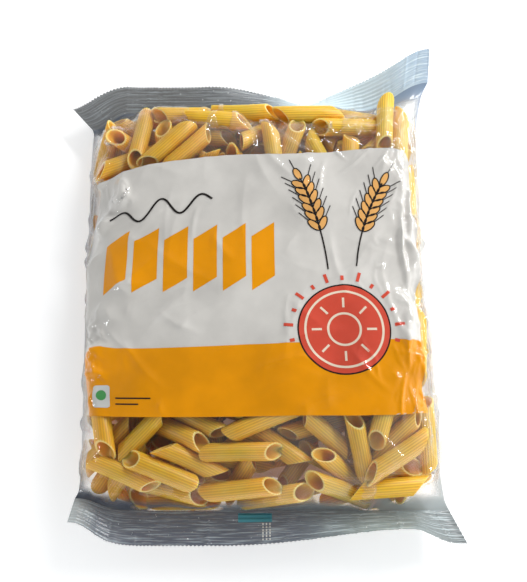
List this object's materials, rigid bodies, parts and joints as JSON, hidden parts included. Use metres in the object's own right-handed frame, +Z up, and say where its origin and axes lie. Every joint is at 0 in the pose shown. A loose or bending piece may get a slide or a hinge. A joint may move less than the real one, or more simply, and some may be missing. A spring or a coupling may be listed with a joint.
{
  "type": "pasta packet",
  "caption": "Clear film pillow bag filled with short slant-cut pasta tubes, crimp-sealed at both ends, with a printed front panel, lying on its back.",
  "frame": {"origin": "middle of the bag's outline, on the surface that it lies on", "axes": "+X across the bag, +Y along it towards the top seal, +Z up through the printed front"},
  "size_m": [0.2198, 0.2752, 0.0449],
  "materials": {
    "film": "clear glossy film over pasta",
    "pasta": "dry ridged wheat pasta, slightly waxy",
    "print": "glossy ink printed on the inside of the film"
  },
  "bodies": {
    "root": {"bag": "film"}
  },
  "joints": []
}
